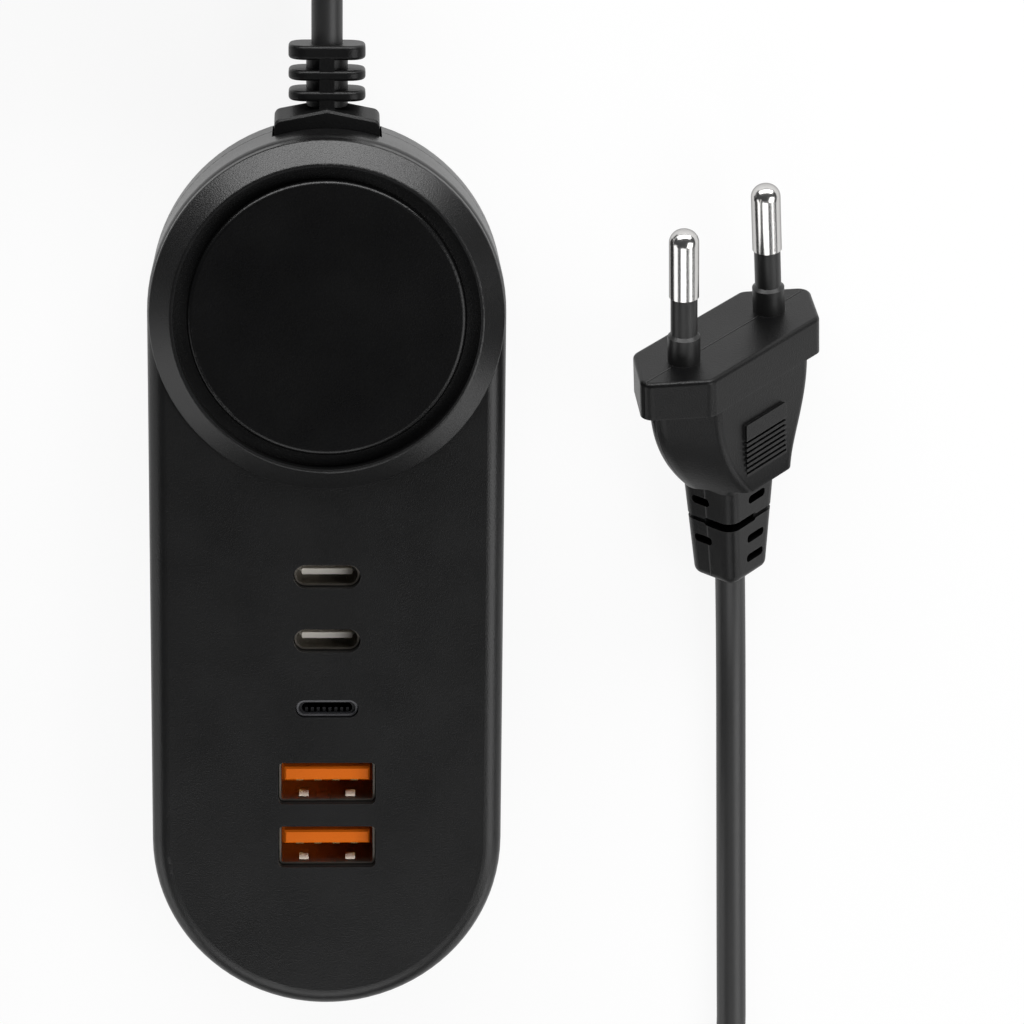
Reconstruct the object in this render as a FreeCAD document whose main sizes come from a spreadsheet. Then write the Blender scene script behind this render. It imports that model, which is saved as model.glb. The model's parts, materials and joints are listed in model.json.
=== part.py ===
import FreeCAD, Part
import math
import os
import Sketcher
from FreeCAD import Placement, Rotation, Vector

# Multi-port charger lying on its back: +X to the right, +Y towards the cord, +Z out of the front face.
# The origin is the middle of the case's flat back. Sizes are in millimetres, tilts in degrees.
SIZES = {
    # case
    "case_width": 48.0,
    "case_length": 122.0,
    "face_height": 19.5,
    "part_height": 8.0,
    "wall": 2.0,
    "floor_wall": 2.0,
    "top_wall": 2.0,
    "face_round": 2.5,
    "base_round": 3.0,
    "part_bevel": 0.3,
    "lip_width": 0.9,
    "lip_height": 1.2,
    "lip_clear": 0.1,
    # raised ring and round pad
    "ring_margin": 0.3,
    "ring_wall": 3.27,
    "ring_rise": 3.0,
    "ring_step": 0.6,
    "ring_land": 0.4,
    "ring_edge_round": 0.4,
    "recess_depth": 2.4,
    "pad_gap": 1.83,
    "pad_drop": 0.3,
    "pad_edge_round": 0.7,
    "peg_radius": 1.5,
    "peg_length": 1.6,
    "peg_pitch_radius": 12.0,
    "peg_clear": 0.1,
    # screws that hold the two shells together
    "screw_across": 30.0,
    "screw_set": 16.0,
    "screw_radius": 1.4,
    "screw_length": 8.5,
    "screw_clear": 0.05,
    "screw_head_radius": 2.75,
    "screw_head_height": 1.8,
    "screw_head_round": 0.6,
    "screw_slot_width": 0.7,
    "screw_slot_depth": 0.9,
    "well_radius": 3.1,
    "well_depth": 3.5,
    "well_seat": 2.0,
    "column_radius": 4.4,
    "boss_radius": 3.0,
    "boss_wall_free": 1.0,
    # circuit board
    "board_thick": 1.6,
    "board_margin": 1.0,
    "board_notch": 4.9,
    "board_cord_room": 9.0,
    "post_across": 33.0,
    "post_along": 28.0,
    "post_radius": 2.4,
    "spigot_radius": 1.1,
    "spigot_height": 1.2,
    "spigot_clear": 0.1,
    # ports, set along the face from the origin
    "usb_c_upper_y": 0.95,
    "usb_c_lower_y": -8.06,
    "slim_y": -17.74,
    "usb_a_upper_y": -28.37,
    "usb_a_lower_y": -37.51,
    "port_recess": 1.3,
    "port_length": 12.7,
    "port_clear": 0.12,
    "shell_sheet": 0.25,
    "usb_a_width": 13.1,
    "usb_a_height": 5.7,
    "usb_a_corner": 0.6,
    "usb_a_tongue_width": 11.7,
    "usb_a_tongue_thick": 1.84,
    "usb_a_tongue_gap": 0.8,
    "usb_a_tongue_recess": 0.5,
    "usb_a_base_height": 4.6,
    "usb_a_tab_pitch": 6.4,
    "usb_a_tab_width": 1.3,
    "usb_a_tab_reach": 0.7,
    "usb_a_tab_set": 1.2,
    "usb_a_tab_length": 4.2,
    "usb_a_tab_lead_in": 0.7,
    "usb_a_tab_crest": 0.35,
    "usb_a_contact_width": 1.0,
    "usb_a_contact_thick": 0.25,
    "usb_a_contact_length": 7.0,
    "usb_a_contact_pitch": 2.5,
    "usb_c_width": 8.84,
    "usb_c_height": 3.06,
    "usb_c_tongue_width": 6.9,
    "usb_c_tongue_thick": 0.8,
    "usb_c_tongue_round": 0.2,
    "usb_c_tongue_recess": 1.7,
    "usb_c_base_height": 7.0,
    "slim_width": 8.34,
    "slim_height": 2.3,
    "slim_sheet": 0.28,
    "slim_recess": 0.7,
    "slim_core_recess": 0.3,
    "slim_slot_width": 6.9,
    "slim_slot_height": 1.36,
    "slim_slot_depth": 6.0,
    "slim_contact_pitch": 0.8,
    "slim_contact_width": 0.4,
    "slim_contact_reach": 0.6,
    "slim_contact_root": 0.1,
    # strain relief
    "boot_width": 14.1,
    "boot_height": 8.6,
    "boot_clear": 0.3,
    "boot_side_reach": 1.9,
    "boot_peak_reach": 3.3,
    "boot_slope": 0.9,
    "boot_corner": 0.6,
    "boot_shoulder_round": 1.0,
    "boot_flange_width": 17.0,
    "boot_flange_height": 10.4,
    "boot_flange_thick": 1.6,
    "boot_flange_set": 4.0,
    "boot_bevel": 0.35,
    "boot_core_radius": 2.8,
    "boot_rib_width": 10.3,
    "boot_rib_height": 7.4,
    "boot_rib_corner": 2.4,
    "boot_rib_start": 3.4,
    "boot_rib_thick": 1.4,
    "boot_rib_gap": 1.37,
    "boot_end_rib": 1.92,
    "boot_rib_round": 0.5,
    "boot_spine_width": 2.0,
    "boot_spine_drop": 0.1,
    # cord and its coil
    "cord_diameter": 4.2,
    "coil_turn_radius": 25.6,
    "coil_y": 109.0,
    "coil_stub": 16.0,
    "tie_thick": 0.9,
    "tie_clear": 0.1,
    "tie_inner_clear": 0.4,
    "tie_round": 1.05,
    "tie_width": 5.0,
    "tie_angle": 45.0,
    "lead_radius": 0.8,
    "lead_pitch": 3.2,
    "lead_bend": 1.8,
    "lead_set": 1.5,
    # plug
    "plug_x": 54.0,
    "plug_face_y": 33.4,
    "plug_yaw": 3.6,
    "plug_clear": 0.02,
    "plug_width": 35.3,
    "plug_thick": 13.7,
    "plug_slant": 6.6,
    "plug_corner": 1.8,
    "plug_face_round": 0.6,
    "plug_flange": 5.4,
    "plug_body_width": 31.3,
    "plug_body_thick": 12.5,
    "plug_body_length": 20.0,
    "plug_end_width": 15.4,
    "plug_end_thick": 14.8,
    "plug_end_slant": 3.63,
    "plug_ledge": 1.8,
    "plug_shoulder": 1.4,
    "guard_width": 10.8,
    "guard_thick": 9.0,
    "guard_tip_width": 8.4,
    "guard_tip_thick": 7.6,
    "guard_round": 1.8,
    "guard_tip_round": 1.2,
    "guard_length": 15.0,
    "guard_slot": 1.3,
    "guard_slot_start": 1.65,
    "guard_slot_pitch": 3.15,
    "guard_slot_back": 1.2,
    "guard_slot_inner": 0.6,
    "guard_slot_round": 0.55,
    "guard_groove": 0.7,
    "guard_groove_depth": 0.45,
    "guard_slot_reach": 2.4,
    "guard_core_radius": 2.6,
    "grip_width": 8.8,
    "grip_length": 8.2,
    "grip_start": 10.0,
    "grip_drop": 0.15,
    "grip_frame": 0.7,
    "grip_plain": 2.0,
    "grip_groove_depth": 0.5,
    "prong_radius": 2.0,
    "prong_length": 19.0,
    "prong_pitch": 18.6,
    "prong_tilt": 1.66,
    "prong_stem_radius": 1.5,
    "prong_root": 8.0,
    "prong_tip_round": 1.8,
    "sleeve_radius": 1.8,
    "sleeve_end": 9.4,
    "sleeve_collar_radius": 2.2,
    "sleeve_collar_end": 3.6,
    "sleeve_root": 0.5,
    # parts on the board; each set is measured from its end at the cord
    "core_width": 20.0,
    "core_depth": 12.0,
    "core_height": 11.0,
    "core_leg": 3.0,
    "core_centre_leg": 6.0,
    "core_yoke": 2.6,
    "winding_clear": 0.15,
    "winding_overhang": 4.0,
    "transformer_x": -7.0,
    "transformer_set": 32.0,
    "bulk_radius": 5.0,
    "bulk_length": 20.0,
    "bulk_edge": 3.5,
    "bulk_set": 32.0,
    "can_crimp": 0.5,
    "filter_radius": 3.15,
    "filter_height": 9.0,
    "filter_across": 25.0,
    "filter_y": -28.5,
    "filter_pitch": 9.0,
    "film_width": 12.0,
    "film_depth": 6.0,
    "film_height": 10.0,
    "film_x": -7.5,
    "film_set": 15.0,
    "choke_radius": 6.0,
    "choke_bore": 2.4,
    "choke_height": 7.0,
    "choke_round": 1.6,
    "choke_x": 6.5,
    "choke_set": 15.0,
    "bridge_width": 9.0,
    "bridge_depth": 3.6,
    "bridge_height": 8.0,
    "bridge_edge": 3.5,
    "bridge_gap": 3.2,
    "bridge_nick": 1.2,
    "fuse_radius": 2.2,
    "fuse_cap_radius": 2.5,
    "fuse_cap": 4.0,
    "fuse_length": 15.0,
    "fuse_set": 6.0,
    "chip_width": 8.0,
    "chip_depth": 6.0,
    "chip_height": 1.6,
    "chip_across": 26.0,
    "chip_y": -10.0,
}
# Each level of the cord guard has slots in its broad faces or slots that wrap round two of its corners.
GUARD_LEVELS = ("face", "corner", "face", "face")
GUARD_SIDE_LEVELS = (0, 2)
GRIP_GROOVE_COUNT = 7
SLIM_CONTACT_COUNT = 8
USB_A_CONTACT_COUNT = 4
PAD_PEG_COUNT = 3
RIB_COUNT = 3
COIL_LAYER_COUNT = 4
WAIST_STEPS = (0.0, 0.3, 0.55, 0.72, 0.84, 0.93, 1.0)
FLARE_POWER = 6
ARC_SHARE = 0.45

doc = FreeCAD.newDocument("MultiPortCharger")
sheet = doc.addObject("Spreadsheet::Sheet", "Sizes")
for row, (alias, value) in enumerate(SIZES.items(), start=1):
    sheet.set(f"A{row}", alias)
    sheet.set(f"B{row}", str(value))
    sheet.setAlias(f"B{row}", alias)
doc.recompute()


# A number together with the sheet expression that gives it.
class Size:
    def __init__(self, value, text):
        self.value = value
        self.text = text

    def __add__(self, other):
        other = as_size(other)
        return Size(self.value + other.value, f"({self.text} + {other.text})")

    def __radd__(self, other):
        return as_size(other) + self

    def __sub__(self, other):
        other = as_size(other)
        return Size(self.value - other.value, f"({self.text} - {other.text})")

    def __rsub__(self, other):
        return as_size(other) - self

    def __mul__(self, other):
        other = as_size(other)
        return Size(self.value * other.value, f"({self.text} * {other.text})")

    def __rmul__(self, other):
        return as_size(other) * self

    def __truediv__(self, other):
        other = as_size(other)
        return Size(self.value / other.value, f"({self.text} / {other.text})")

    def __neg__(self):
        return Size(-self.value, f"(0 - {self.text})")


def as_size(amount):
    if isinstance(amount, Size):
        return amount
    return Size(float(amount), f"({float(amount):.9g})")


class SheetSizes:
    def __getattr__(self, alias):
        return Size(float(sheet.get(alias)), f"Sizes.{alias}")


# Angles: a plain number of degrees from the sheet, or one that comes from a ratio of two sizes.
def degrees(amount):
    return Size(amount.value, f"({amount.text} * 1 deg)")


def arctan(ratio):
    return Size(math.degrees(math.atan(ratio.value)), f"atan({ratio.text})")


def sine(turn):
    return Size(math.sin(math.radians(turn.value)), f"sin({turn.text})")


def cosine(turn):
    return Size(math.cos(math.radians(turn.value)), f"cos({turn.text})")


def bind(item, path, amount):
    item.setExpression(path, as_size(amount).text)


# A sketch on one of its body's own planes. Every corner, centre and radius is bound to the sheet.
class Outline:
    def __init__(self, body, name, plane, lift=0.0):
        self.sketch = body.newObject("Sketcher::SketchObject", name)
        support = next(item for item in body.Origin.OriginFeatures if item.Role == plane)
        self.sketch.AttachmentSupport = [(support, "")]
        self.sketch.MapMode = "FlatFace"
        bind(self.sketch, "AttachmentOffset.Base.z", lift)

    def _hold(self, kind, place, amount):
        amount = as_size(amount)
        index = self.sketch.addConstraint(Sketcher.Constraint(kind, *place, amount.value))
        self.sketch.setExpression(f"Constraints[{index}]", amount.text)

    def _fix(self, geometry, position, x, y):
        self._hold("DistanceX", (-1, 1, geometry, position), x)
        self._hold("DistanceY", (-1, 1, geometry, position), y)

    def _join(self, kind, *place):
        self.sketch.addConstraint(Sketcher.Constraint(kind, *place))

    def circle(self, x, y, radius):
        centre = Vector(as_size(x).value, as_size(y).value, 0)
        index = self.sketch.addGeometry(Part.Circle(centre, Vector(0, 0, 1), as_size(radius).value))
        self._hold("Radius", (index,), radius)
        self._fix(index, 3, x, y)
        return self

    # Two half circles joined by straight sides; reach is from the middle to each centre.
    def stadium(self, x, y, reach, radius, along_y=False):
        x, y, reach, radius = (as_size(amount) for amount in (x, y, reach, radius))
        far = (x, y + reach) if along_y else (x + reach, y)
        near = (x, y - reach) if along_y else (x - reach, y)
        first = 0.0 if along_y else -math.pi / 2
        arcs = []
        for (cx, cy), start in ((far, first), (near, first + math.pi)):
            circle = Part.Circle(Vector(cx.value, cy.value, 0), Vector(0, 0, 1), radius.value)
            arcs.append(self.sketch.addGeometry(Part.ArcOfCircle(circle, start, start + math.pi)))
        for arc, next_arc in (arcs, reversed(arcs)):
            tail = self.sketch.getPoint(arc, 2)
            head = self.sketch.getPoint(next_arc, 1)
            side = self.sketch.addGeometry(Part.LineSegment(tail, head))
            self._join("Tangent", arc, 2, side, 1)
            self._join("Tangent", side, 2, next_arc, 1)
        for arc, (cx, cy) in zip(arcs, (far, near)):
            self._hold("Radius", (arc,), radius)
            self._fix(arc, 3, cx, cy)
        return self

    # Closed outline through corners given as (x, y) or (x, y, rounding).
    def polygon(self, corners):
        count = len(corners)
        spots = [Vector(as_size(c[0]).value, as_size(c[1]).value, 0) for c in corners]
        ahead = [(spots[(i + 1) % count] - spots[i]).normalize() for i in range(count)]
        rounding = [as_size(c[2]) if len(c) > 2 else None for c in corners]
        arrive, leave = [], []
        for i in range(count):
            trim = 0.0
            if rounding[i]:
                trim = rounding[i].value * math.tan(ahead[i - 1].getAngle(ahead[i]) / 2)
            arrive.append(spots[i] - ahead[i - 1] * trim)
            leave.append(spots[i] + ahead[i] * trim)
        sides = []
        for i in range(count):
            sides.append(self.sketch.addGeometry(Part.LineSegment(leave[i], arrive[(i + 1) % count])))
        for i in range(count):
            before, after = sides[i - 1], sides[i]
            x, y = corners[i][0], corners[i][1]
            if rounding[i] is None:
                self._join("Coincident", before, 2, after, 1)
                self._fix(after, 1, x, y)
                continue
            left_turn = ahead[i - 1].cross(ahead[i]).z > 0
            inward = Vector(-ahead[i - 1].y, ahead[i - 1].x, 0) * (1 if left_turn else -1)
            centre = arrive[i] + inward * rounding[i].value
            ends = (arrive[i], leave[i]) if left_turn else (leave[i], arrive[i])
            angles = [math.atan2(end.y - centre.y, end.x - centre.x) for end in ends]
            if angles[1] < angles[0]:
                angles[1] += 2 * math.pi
            circle = Part.Circle(centre, Vector(0, 0, 1), rounding[i].value)
            arc = self.sketch.addGeometry(Part.ArcOfCircle(circle, *angles))
            corner = self.sketch.addGeometry(Part.Point(spots[i]), True)
            entry, way_out = (1, 2) if left_turn else (2, 1)
            self._join("Tangent", before, 2, arc, entry)
            self._join("Tangent", arc, way_out, after, 1)
            self._hold("Radius", (arc,), rounding[i])
            self._join("PointOnObject", corner, 1, before)
            self._join("PointOnObject", corner, 1, after)
            self._fix(corner, 1, x, y)
        return self

    def rectangle(self, x0, y0, x1, y1, rounding=None):
        corners = [(x0, y0), (x1, y0), (x1, y1), (x0, y1)]
        if rounding is not None:
            corners = [corner + (rounding,) for corner in corners]
        return self.polygon(corners)


def new_body(label, x=0.0, y=0.0, z=0.0):
    body = doc.addObject("PartDesign::Body", label)
    body.Label = label
    for path, amount in (("x", x), ("y", y), ("z", z)):
        bind(body, f"Placement.Base.{path}", amount)
    return body


def pad(body, name, outline, length, reverse=False):
    feature = body.newObject("PartDesign::Pad", name)
    feature.Profile = outline.sketch
    bind(feature, "Length", length)
    feature.Reversed = reverse
    doc.recompute()
    return feature


# A pocket runs against its sketch's normal, or along it when reversed, and has to take something away.
def pocket(body, name, outline, length, reverse=False):
    before = body.Tip.Shape.Volume
    feature = body.newObject("PartDesign::Pocket", name)
    feature.Profile = outline.sketch
    bind(feature, "Length", length)
    feature.Reversed = reverse
    doc.recompute()
    if not feature.Shape.Volume < before - 1e-6:
        raise RuntimeError(f"{name} cuts nothing")
    return feature


def revolve(body, name, outline):
    feature = body.newObject("PartDesign::Revolution", name)
    feature.Profile = outline.sketch
    feature.ReferenceAxis = (outline.sketch, ["V_Axis"])
    feature.Angle = 360.0
    doc.recompute()
    return feature


def loft(body, name, first, *others, ruled=False):
    feature = body.newObject("PartDesign::AdditiveLoft", name)
    feature.Profile = first.sketch
    feature.Sections = [(other.sketch, [""]) for other in others]
    feature.Ruled = ruled
    doc.recompute()
    return feature


def edges_of(feature, test):
    return [f"Edge{i}" for i, edge in enumerate(feature.Shape.Edges, start=1) if test(edge.BoundBox)]


def dress(body, kind, name, amount, test):
    base = body.Tip
    feature = body.newObject(f"PartDesign::{kind}", name)
    feature.Base = (base, edges_of(base, test))
    bind(feature, "Radius" if kind == "Fillet" else "Size", amount)
    doc.recompute()
    return feature


def mirrored(body, name, originals, plane):
    feature = body.newObject("PartDesign::Mirrored", name)
    feature.Originals = originals
    feature.MirrorPlane = (next(p for p in body.Origin.OriginFeatures if p.Role == plane), [""])
    body.Tip = feature
    doc.recompute()
    return feature


def repeated(body, name, original, axis, pitch, count):
    feature = body.newObject("PartDesign::LinearPattern", name)
    feature.Originals = [original]
    feature.Direction = (next(a for a in body.Origin.OriginFeatures if a.Role == axis), [""])
    feature.Mode = "Spacing"
    bind(feature, "Offset", pitch)
    feature.Occurrences = count
    body.Tip = feature
    doc.recompute()
    return feature


def block(name, corner, lengths):
    box = doc.addObject("Part::Box", name)
    for path, amount in zip(("Length", "Width", "Height"), lengths):
        bind(box, path, amount)
    for path, amount in zip("xyz", corner):
        bind(box, f"Placement.Base.{path}", amount)
    return box


def group(label, members):
    compound = doc.addObject("Part::Compound", label)
    compound.Label = label
    compound.Links = members
    return compound


def flat_at(height):
    return lambda box: abs(box.ZMin - height.value) < 1e-4 and abs(box.ZMax - height.value) < 1e-4


d = SheetSizes()
end_radius = d.case_width / 2
end_centre = d.case_length / 2 - end_radius
case_end = d.case_length / 2
inner_radius = end_radius - d.wall
ring_radius = end_radius - d.ring_margin
recess_radius = ring_radius - d.ring_wall
pad_radius = recess_radius - d.pad_gap
ceiling = d.face_height - d.top_wall
ring_top = d.face_height + d.ring_rise
pad_seat = ring_top - d.recess_depth
mouth = d.face_height - d.port_recess
board_top = mouth - d.port_length
board_under = board_top - d.board_thick
board_end = case_end - d.board_cord_room
board_side = inner_radius - d.board_margin
column_top = d.well_depth + d.well_seat
boot_end = case_end + d.boot_rib_start + 2 * (d.boot_rib_thick + d.boot_rib_gap) + d.boot_end_rib
flange_face = case_end - d.boot_flange_set
cord_radius = d.cord_diameter / 2
coil_x = -d.coil_turn_radius
coil_base = d.tie_thick + d.tie_clear
coil_outer = d.coil_turn_radius + cord_radius
coil_inner = coil_outer - 2 * d.cord_diameter
coil_top = coil_base + COIL_LAYER_COUNT * d.cord_diameter
first_layer = coil_base + cord_radius
second_layer = first_layer + d.cord_diameter
tube_meets_coil_y = d.coil_y - d.coil_stub
plug_length = d.plug_body_length + d.plug_shoulder + d.guard_length
# The plug lies on one slanted side of its head and on the tip of its cord guard, so its prongs point upwards.
# Rounding a square point takes some of it away, so the sharp outline is that much wider.
point_trim = (math.sqrt(2) - 1) * d.plug_corner
plug_roll = arctan(d.plug_thick / 2 / d.plug_slant)
head_drop = (d.plug_width / 2 + point_trim) * sine(plug_roll)
guard_flat_x = d.guard_tip_width / 2 - d.guard_round
guard_flat_z = d.guard_tip_thick / 2 - d.guard_round
guard_drop = guard_flat_x * sine(plug_roll) + guard_flat_z * cosine(plug_roll) + d.guard_round
plug_lift = arctan((head_drop - guard_drop) / (plug_length - d.plug_flange))
plug_height = head_drop * cosine(plug_lift) + d.plug_flange * sine(plug_lift) + d.plug_clear

SCREW_SPOTS = [(sx * d.screw_across / 2, sy * (case_end - d.screw_set)) for sx in (-1, 1) for sy in (-1, 1)]
POST_SPOTS = [(sx * d.post_across / 2, sy * d.post_along / 2) for sx in (-1, 1) for sy in (-1, 1)]
PEG_SPOTS = [
    (d.peg_pitch_radius * math.cos(turn), d.peg_pitch_radius * math.sin(turn))
    for turn in (math.pi / 2 + 2 * math.pi * i / PAD_PEG_COUNT for i in range(PAD_PEG_COUNT))
]


def spots(outline, places, radius):
    for x, y in places:
        outline.circle(x, y, radius)
    return outline


# Half of the opening that holds the boot, cut through the end wall of either shell.
def boot_opening(body, name, bottom, top):
    half = d.boot_width / 2 + d.boot_clear
    slot = Outline(body, f"{name}_outline", "XZ_Plane", -(flange_face - d.wall))
    slot.rectangle(-half, bottom, half, top)
    pocket(body, name, slot, d.boot_flange_set + 2 * d.wall)


def make_front_shell():
    body = new_body("front_shell")
    outside = Outline(body, "front_outside", "XY_Plane", d.part_height)
    outside.stadium(0, 0, end_centre, end_radius, along_y=True)
    pad(body, "front_block", outside, d.face_height - d.part_height)
    dress(body, "Fillet", "front_edge", d.face_round, flat_at(d.face_height))
    ring = Outline(body, "ring_section", "XZ_Plane", -end_centre)
    ring_foot = d.face_height - d.face_round
    ring.polygon([
        (0, ring_foot),
        (ring_radius, ring_foot),
        (ring_radius, d.face_height + d.ring_step, d.ring_edge_round),
        (recess_radius + d.ring_land, ring_top, d.ring_edge_round),
        (recess_radius, ring_top),
        (recess_radius, pad_seat),
        (0, pad_seat),
    ])
    revolve(body, "raised_ring", ring)
    cavity = Outline(body, "front_inside", "XY_Plane", d.part_height)
    cavity.stadium(0, 0, end_centre, inner_radius, along_y=True)
    pocket(body, "front_cavity", cavity, ceiling - d.part_height, reverse=True)
    rebate = Outline(body, "rebate_outline", "XY_Plane", d.part_height)
    rebate.stadium(0, 0, end_centre, inner_radius + d.lip_width + d.lip_clear, along_y=True)
    pocket(body, "lip_rebate", rebate, d.lip_height + d.lip_clear, reverse=True)
    bosses = spots(Outline(body, "boss_outlines", "XY_Plane", column_top), SCREW_SPOTS, d.boss_radius)
    pad(body, "screw_bosses", bosses, ceiling - column_top)
    pilots = Outline(body, "pilot_outlines", "XY_Plane", column_top)
    spots(pilots, SCREW_SPOTS, d.screw_radius + d.screw_clear)
    pocket(body, "pilot_holes", pilots, d.screw_length - d.well_seat + d.boss_wall_free, reverse=True)
    ports = Outline(body, "port_outlines", "XY_Plane", d.face_height)
    for y in (d.usb_a_upper_y, d.usb_a_lower_y):
        half_width = d.usb_a_width / 2 + d.port_clear
        half_height = d.usb_a_height / 2 + d.port_clear
        corner = d.usb_a_corner + d.port_clear
        ports.rectangle(-half_width, y - half_height, half_width, y + half_height, corner)
    for y, width, height in (
        (d.usb_c_upper_y, d.usb_c_width, d.usb_c_height),
        (d.usb_c_lower_y, d.usb_c_width, d.usb_c_height),
        (d.slim_y, d.slim_width, d.slim_height),
    ):
        ports.stadium(0, y, (width - height) / 2, height / 2 + d.port_clear)
    pocket(body, "port_openings", ports, d.top_wall)
    pegs = Outline(body, "peg_hole_outlines", "XY_Plane", pad_seat)
    spots(pegs, [(x, end_centre + y) for x, y in PEG_SPOTS], d.peg_radius + d.peg_clear)
    pocket(body, "peg_holes", pegs, d.peg_length + d.peg_clear)
    boot_opening(
        body, "front_boot_opening", d.part_height - d.wall, d.part_height + d.boot_height / 2 + d.boot_clear
    )
    return body


def make_rear_shell():
    body = new_body("rear_shell")
    outside = Outline(body, "rear_outside", "XY_Plane")
    outside.stadium(0, 0, end_centre, end_radius, along_y=True)
    pad(body, "rear_block", outside, d.part_height)
    dress(body, "Fillet", "rear_edge", d.base_round, lambda box: box.ZMax < 1e-4)
    dress(body, "Chamfer", "part_line", d.part_bevel, flat_at(d.part_height))
    cavity = Outline(body, "rear_inside", "XY_Plane", d.floor_wall)
    cavity.stadium(0, 0, end_centre, inner_radius, along_y=True)
    pocket(body, "rear_cavity", cavity, d.part_height - d.floor_wall, reverse=True)
    lip = Outline(body, "lip_outline", "XY_Plane", d.part_height)
    lip.stadium(0, 0, end_centre, inner_radius + d.lip_width, along_y=True)
    lip.stadium(0, 0, end_centre, inner_radius, along_y=True)
    pad(body, "lip", lip, d.lip_height)
    columns = spots(Outline(body, "column_outlines", "XY_Plane", d.floor_wall), SCREW_SPOTS, d.column_radius)
    pad(body, "screw_columns", columns, column_top - d.floor_wall)
    wells = spots(Outline(body, "well_outlines", "XY_Plane"), SCREW_SPOTS, d.well_radius)
    pocket(body, "screw_wells", wells, d.well_depth, reverse=True)
    holes = Outline(body, "screw_hole_outlines", "XY_Plane", d.well_depth)
    spots(holes, SCREW_SPOTS, d.screw_radius + d.screw_clear)
    pocket(body, "screw_holes", holes, d.well_seat, reverse=True)
    posts = spots(Outline(body, "post_outlines", "XY_Plane", d.floor_wall), POST_SPOTS, d.post_radius)
    pad(body, "board_posts", posts, board_under - d.floor_wall)
    spigots = spots(Outline(body, "spigot_outlines", "XY_Plane", board_under), POST_SPOTS, d.spigot_radius)
    pad(body, "board_spigots", spigots, d.spigot_height)
    boot_opening(
        body, "rear_boot_opening", d.part_height - d.boot_height / 2 - d.boot_clear, d.part_height + d.wall
    )
    return body


def make_round_pad():
    body = new_body("round_pad", 0, end_centre, 0)
    section = Outline(body, "pad_section", "XZ_Plane")
    section.polygon([
        (0, pad_seat),
        (pad_radius, pad_seat),
        (pad_radius, ring_top - d.pad_drop, d.pad_edge_round),
        (0, ring_top - d.pad_drop),
    ])
    revolve(body, "pad_disc", section)
    pegs = spots(Outline(body, "peg_outlines", "XY_Plane", pad_seat), PEG_SPOTS, d.peg_radius)
    pad(body, "pad_pegs", pegs, d.peg_length, reverse=True)
    return body


def make_screw(index, x, y):
    body = new_body(f"screw_{index}", x, y, d.well_depth)
    section = Outline(body, f"screw_section_{index}", "XZ_Plane")
    section.polygon([
        (0, -d.screw_head_height),
        (d.screw_head_radius, -d.screw_head_height, d.screw_head_round),
        (d.screw_head_radius, 0),
        (d.screw_radius, 0),
        (d.screw_radius, d.screw_length),
        (0, d.screw_length),
    ])
    revolve(body, f"screw_turning_{index}", section)
    half = d.screw_slot_width / 2
    arm = d.screw_radius
    cross = Outline(body, f"screw_cross_{index}", "XY_Plane", -d.screw_head_height)
    cross.polygon([
        (-arm, -half), (-half, -half), (-half, -arm), (half, -arm), (half, -half), (arm, -half),
        (arm, half), (half, half), (half, arm), (-half, arm), (-half, half), (-arm, half),
    ])
    pocket(body, f"screw_recess_{index}", cross, d.screw_slot_depth, reverse=True)
    return body


def make_board():
    body = new_body("main_board")
    outline = Outline(body, "board_outline", "XY_Plane", board_under)
    outline.stadium(0, 0, end_centre, board_side, along_y=True)
    pad(body, "board_sheet", outline, d.board_thick)
    notches = spots(Outline(body, "notch_outlines", "XY_Plane", board_under), SCREW_SPOTS, d.board_notch)
    pocket(body, "column_notches", notches, d.board_thick, reverse=True)
    holes = Outline(body, "spigot_hole_outlines", "XY_Plane", board_under)
    spots(holes, POST_SPOTS, d.spigot_radius + d.spigot_clear)
    pocket(body, "spigot_holes", holes, d.board_thick, reverse=True)
    room = Outline(body, "cord_room_outline", "XY_Plane", board_under)
    room.rectangle(-end_radius, board_end, end_radius, case_end)
    pocket(body, "cord_room", room, d.board_thick, reverse=True)
    return body


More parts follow.
